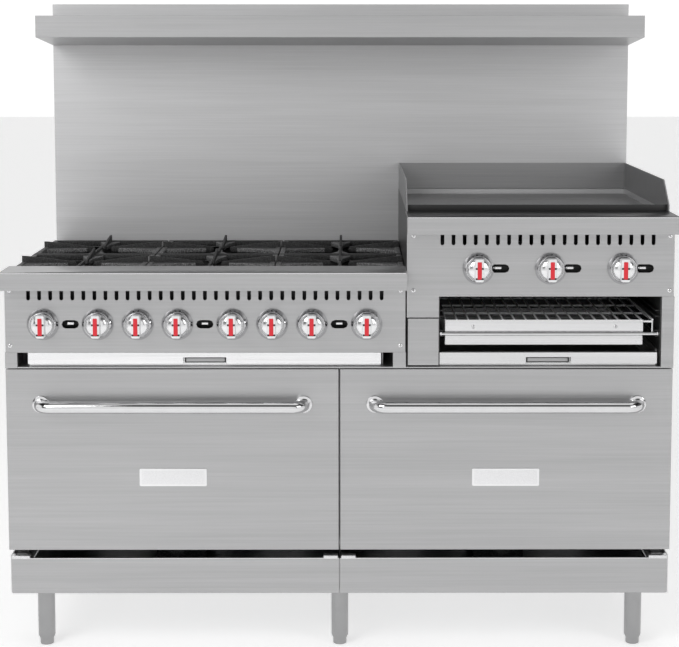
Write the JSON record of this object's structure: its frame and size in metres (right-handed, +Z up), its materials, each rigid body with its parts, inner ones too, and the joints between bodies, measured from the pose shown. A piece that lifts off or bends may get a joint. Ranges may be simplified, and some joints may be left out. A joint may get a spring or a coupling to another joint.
{
  "type": "commercial gas range",
  "caption": "Free-standing stainless gas range with open burners and lift-off grates, a raised griddle over a broiler, ovens with drop-down doors, and a backguard with a shelf.",
  "frame": {"origin": "on the floor, under the middle of the range's outer box", "axes": "+X to the right seen from the front, +Y to the back, +Z up"},
  "size_m": [1.524, 0.838, 1.508],
  "materials": {
    "stainless": "horizontally brushed stainless sheet",
    "bright_steel": "polished or bright plated",
    "galvanized": "dull galvanized sheet",
    "cast_iron": "matt black enamelled casting with speckled highlights",
    "griddle_steel": "ground steel plate",
    "enamel": "dark porcelain enamel",
    "gas_pipe": "black pipe",
    "knob": "bright dome with a red pointer"
  },
  "bodies": {
    "range_body": {"base_chassis": "galvanized", "back_panel": "galvanized", "broiler_box": "galvanized", "backguard": "stainless", "overshelf": "stainless", "kick_plate_left": "stainless", "kick_plate_right": "stainless", "side_panel_left": "stainless", "side_panel_right": "stainless", "control_panel_left": "stainless", "control_panel_right": "stainless", "front_rail_left": "stainless", "front_rail_right": "stainless", "oven_liner_left": "enamel", "oven_liner_right": "enamel", "burner_box": "enamel", "oven_rack_left": "bright_steel", "oven_rack_right": "bright_steel", "leg_front_left": "bright_steel", "leg_front_centre": "bright_steel", "leg_front_right": "bright_steel", "leg_rear_left": "bright_steel", "leg_rear_centre": "bright_steel", "leg_rear_right": "bright_steel", "oven_burner_left": "cast_iron", "oven_burner_right": "cast_iron", "burner_pair_left": "cast_iron", "burner_pair_centre": "cast_iron", "burner_pair_right": "cast_iron", "broiler_burner": "cast_iron", "gas_manifold": "gas_pipe", "griddle_plate": "griddle_steel", "griddle_splash": "griddle_steel"},
    "door_left": {"door_shell_left": "stainless", "door_inner_left": "stainless", "door_handle_left": "bright_steel"},
    "door_right": {"door_shell_right": "stainless", "door_inner_right": "stainless", "door_handle_right": "bright_steel"},
    "burner_knob_1_turning": {"burner_knob_1": "knob"},
    "burner_knob_2_turning": {"burner_knob_2": "knob"},
    "burner_knob_3_turning": {"burner_knob_3": "knob"},
    "burner_knob_4_turning": {"burner_knob_4": "knob"},
    "burner_knob_5_turning": {"burner_knob_5": "knob"},
    "burner_knob_6_turning": {"burner_knob_6": "knob"},
    "oven_knob_left_turning": {"oven_knob_left": "knob"},
    "oven_knob_right_turning": {"oven_knob_right": "knob"},
    "griddle_knob_1_turning": {"griddle_knob_1": "knob"},
    "griddle_knob_2_turning": {"griddle_knob_2": "knob"},
    "griddle_knob_3_turning": {"griddle_knob_3": "knob"},
    "crumb_tray_sliding": {"crumb_tray": "bright_steel"},
    "broiler_tray_sliding": {"broiler_tray": "bright_steel"},
    "grease_drawer_sliding": {"grease_drawer": "stainless"},
    "broiler_rack_sliding": {"broiler_rack": "bright_steel"},
    "grate_front_left_loose": {"grate_front_left": "cast_iron"},
    "grate_front_centre_loose": {"grate_front_centre": "cast_iron"},
    "grate_front_right_loose": {"grate_front_right": "cast_iron"},
    "grate_rear_left_loose": {"grate_rear_left": "cast_iron"},
    "grate_rear_centre_loose": {"grate_rear_centre": "cast_iron"},
    "grate_rear_right_loose": {"grate_rear_right": "cast_iron"}
  },
  "joints": [
    {"name": "door_left_drop", "type": "hinge", "parent": "range_body", "child": "door_left", "pos_m": [-0.381, -0.341, 0.256], "axis": [1, 0, 0], "range_deg": [0, 90], "stiffness_Nm_per_rad": 10, "springref_deg": -17.19},
    {"name": "door_right_drop", "type": "hinge", "parent": "range_body", "child": "door_right", "pos_m": [0.381, -0.341, 0.256], "axis": [1, 0, 0], "range_deg": [0, 90], "stiffness_Nm_per_rad": 10, "springref_deg": -17.19},
    {"name": "burner_knob_1_turn", "type": "hinge", "parent": "range_body", "child": "burner_knob_1_turning", "pos_m": [-0.6716, -0.3715, 0.771], "axis": [0, -1, 0], "range_deg": [0, 90]},
    {"name": "burner_knob_2_turn", "type": "hinge", "parent": "range_body", "child": "burner_knob_2_turning", "pos_m": [-0.5476, -0.3715, 0.771], "axis": [0, -1, 0], "range_deg": [0, 90]},
    {"name": "burner_knob_3_turn", "type": "hinge", "parent": "range_body", "child": "burner_knob_3_turning", "pos_m": [-0.3668, -0.3715, 0.771], "axis": [0, -1, 0], "range_deg": [0, 90]},
    {"name": "burner_knob_4_turn", "type": "hinge", "parent": "range_body", "child": "burner_knob_4_turning", "pos_m": [-0.2428, -0.3715, 0.771], "axis": [0, -1, 0], "range_deg": [0, 90]},
    {"name": "burner_knob_5_turn", "type": "hinge", "parent": "range_body", "child": "burner_knob_5_turning", "pos_m": [-0.062, -0.3715, 0.771], "axis": [0, -1, 0], "range_deg": [0, 90]},
    {"name": "burner_knob_6_turn", "type": "hinge", "parent": "range_body", "child": "burner_knob_6_turning", "pos_m": [0.062, -0.3715, 0.771], "axis": [0, -1, 0], "range_deg": [0, 90]},
    {"name": "oven_knob_left_turn", "type": "hinge", "parent": "range_body", "child": "oven_knob_left_turning", "pos_m": [-0.4572, -0.3715, 0.771], "axis": [0, -1, 0], "range_deg": [0, 270]},
    {"name": "oven_knob_right_turn", "type": "hinge", "parent": "range_body", "child": "oven_knob_right_turning", "pos_m": [-0.1524, -0.3715, 0.771], "axis": [0, -1, 0], "range_deg": [0, 270]},
    {"name": "griddle_knob_1_turn", "type": "hinge", "parent": "range_body", "child": "griddle_knob_1_turning", "pos_m": [0.3147, -0.3715, 0.898], "axis": [0, -1, 0], "range_deg": [0, 90]},
    {"name": "griddle_knob_2_turn", "type": "hinge", "parent": "range_body", "child": "griddle_knob_2_turning", "pos_m": [0.478, -0.3715, 0.898], "axis": [0, -1, 0], "range_deg": [0, 90]},
    {"name": "griddle_knob_3_turn", "type": "hinge", "parent": "range_body", "child": "griddle_knob_3_turning", "pos_m": [0.642, -0.3715, 0.898], "axis": [0, -1, 0], "range_deg": [0, 90]},
    {"name": "crumb_tray_slide", "type": "slide", "parent": "range_body", "child": "crumb_tray_sliding", "axis": [0, -1, 0], "range_m": [0, 0.6]},
    {"name": "broiler_tray_slide", "type": "slide", "parent": "range_body", "child": "broiler_tray_sliding", "axis": [0, -1, 0], "range_m": [0, 0.6]},
    {"name": "grease_drawer_slide", "type": "slide", "parent": "range_body", "child": "grease_drawer_sliding", "axis": [0, -1, 0], "range_m": [0, 0.5]},
    {"name": "broiler_rack_slide", "type": "slide", "parent": "range_body", "child": "broiler_rack_sliding", "axis": [0, -1, 0], "range_m": [0, 0.45]},
    {"name": "grate_front_left_lift", "type": "slide", "parent": "range_body", "child": "grate_front_left_loose", "axis": [0, 0, 1], "range_m": [0, 0.12]},
    {"name": "grate_front_centre_lift", "type": "slide", "parent": "range_body", "child": "grate_front_centre_loose", "axis": [0, 0, 1], "range_m": [0, 0.12]},
    {"name": "grate_front_right_lift", "type": "slide", "parent": "range_body", "child": "grate_front_right_loose", "axis": [0, 0, 1], "range_m": [0, 0.12]},
    {"name": "grate_rear_left_lift", "type": "slide", "parent": "range_body", "child": "grate_rear_left_loose", "axis": [0, 0, 1], "range_m": [0, 0.12]},
    {"name": "grate_rear_centre_lift", "type": "slide", "parent": "range_body", "child": "grate_rear_centre_loose", "axis": [0, 0, 1], "range_m": [0, 0.12]},
    {"name": "grate_rear_right_lift", "type": "slide", "parent": "range_body", "child": "grate_rear_right_loose", "axis": [0, 0, 1], "range_m": [0, 0.12]}
  ]
}
